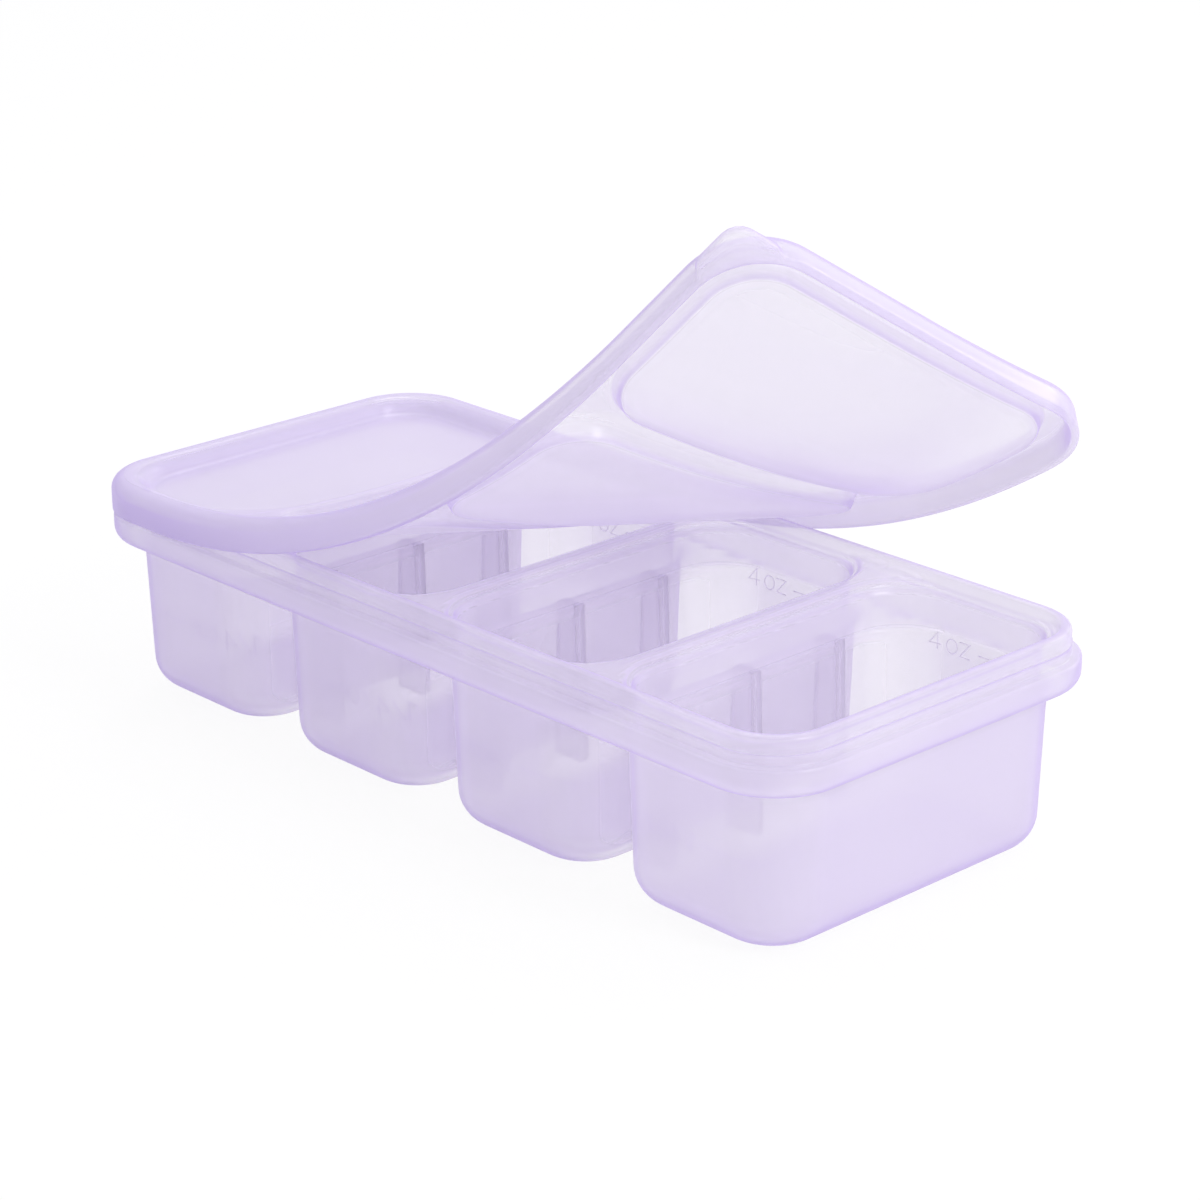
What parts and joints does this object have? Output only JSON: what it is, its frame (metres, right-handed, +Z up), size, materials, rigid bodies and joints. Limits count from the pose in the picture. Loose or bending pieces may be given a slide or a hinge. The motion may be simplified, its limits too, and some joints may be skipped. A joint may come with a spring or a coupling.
{
  "type": "baby food freezer tray",
  "caption": "Soft freezer tray: a row of deep rounded cups under one rim, with a one-piece press-on lid peeled back from one corner.",
  "frame": {"origin": "centre of the footprint, on the plane that the cups and webs stand on", "axes": "+Z up out of the cells, +X along the row of cells towards the end where the lid is peeled back, -Y towards the long side with the lifting tab"},
  "size_m": [0.2222, 0.1074, 0.1396],
  "materials": {
    "tray_silicone": "translucent, satin",
    "lid_silicone": "translucent, satin"
  },
  "bodies": {
    "tray": {"rim": "tray_silicone", "divider_1": "tray_silicone", "divider_2": "tray_silicone", "divider_3": "tray_silicone", "cup_1": "tray_silicone", "cup_2": "tray_silicone", "cup_3": "tray_silicone", "cup_4": "tray_silicone", "webs_1": "tray_silicone", "webs_2": "tray_silicone", "webs_3": "tray_silicone"},
    "lid_seat": {"lid_seat": "lid_silicone"},
    "lid_fold_1": {"lid_fold_1": "lid_silicone"},
    "lid_fold_2": {"lid_fold_2": "lid_silicone"},
    "lid_fold_3": {"lid_fold_3": "lid_silicone"},
    "lid_fold_4": {"lid_fold_4": "lid_silicone"},
    "lid_fold_5": {"lid_fold_5": "lid_silicone"},
    "lid_flap": {"lid_flap": "lid_silicone"}
  },
  "joints": [
    {"name": "lid_lift", "type": "slide", "parent": "tray", "child": "lid_seat", "axis": [0, 0, 1], "range_m": [0, 0.04]},
    {"name": "lid_peel", "type": "hinge", "parent": "lid_seat", "child": "lid_fold_1", "pos_m": [-0.02418, 0.01776, 0.0465], "axis": [-0.592, -0.8059, 0], "range_deg": [-10.86, 4]},
    {"name": "lid_curl_2", "type": "hinge", "parent": "lid_fold_1", "child": "lid_fold_2", "pos_m": [-0.00727, 0.00534, 0.05052], "axis": [-0.592, -0.8059, 0], "range_deg": [-10.86, 4]},
    {"name": "lid_curl_3", "type": "hinge", "parent": "lid_fold_2", "child": "lid_fold_3", "pos_m": [0.00872, -0.00641, 0.05843], "axis": [-0.592, -0.8059, 0], "range_deg": [-10.86, 4]},
    {"name": "lid_curl_4", "type": "hinge", "parent": "lid_fold_3", "child": "lid_fold_4", "pos_m": [0.02323, -0.01706, 0.06993], "axis": [-0.592, -0.8059, 0], "range_deg": [-10.86, 4]},
    {"name": "lid_curl_5", "type": "hinge", "parent": "lid_fold_4", "child": "lid_fold_5", "pos_m": [0.03573, -0.02624, 0.08462], "axis": [-0.592, -0.8059, 0], "range_deg": [-10.86, 4]},
    {"name": "lid_curl_6", "type": "hinge", "parent": "lid_fold_5", "child": "lid_flap", "pos_m": [0.04577, -0.03362, 0.10196], "axis": [-0.592, -0.8059, 0], "range_deg": [-10.86, 4]}
  ],
  "couplings": [
    {"joint": "lid_curl_2", "follows": "lid_peel", "ratio": 1},
    {"joint": "lid_curl_3", "follows": "lid_peel", "ratio": 1},
    {"joint": "lid_curl_4", "follows": "lid_peel", "ratio": 1},
    {"joint": "lid_curl_5", "follows": "lid_peel", "ratio": 1},
    {"joint": "lid_curl_6", "follows": "lid_peel", "ratio": 1}
  ]
}
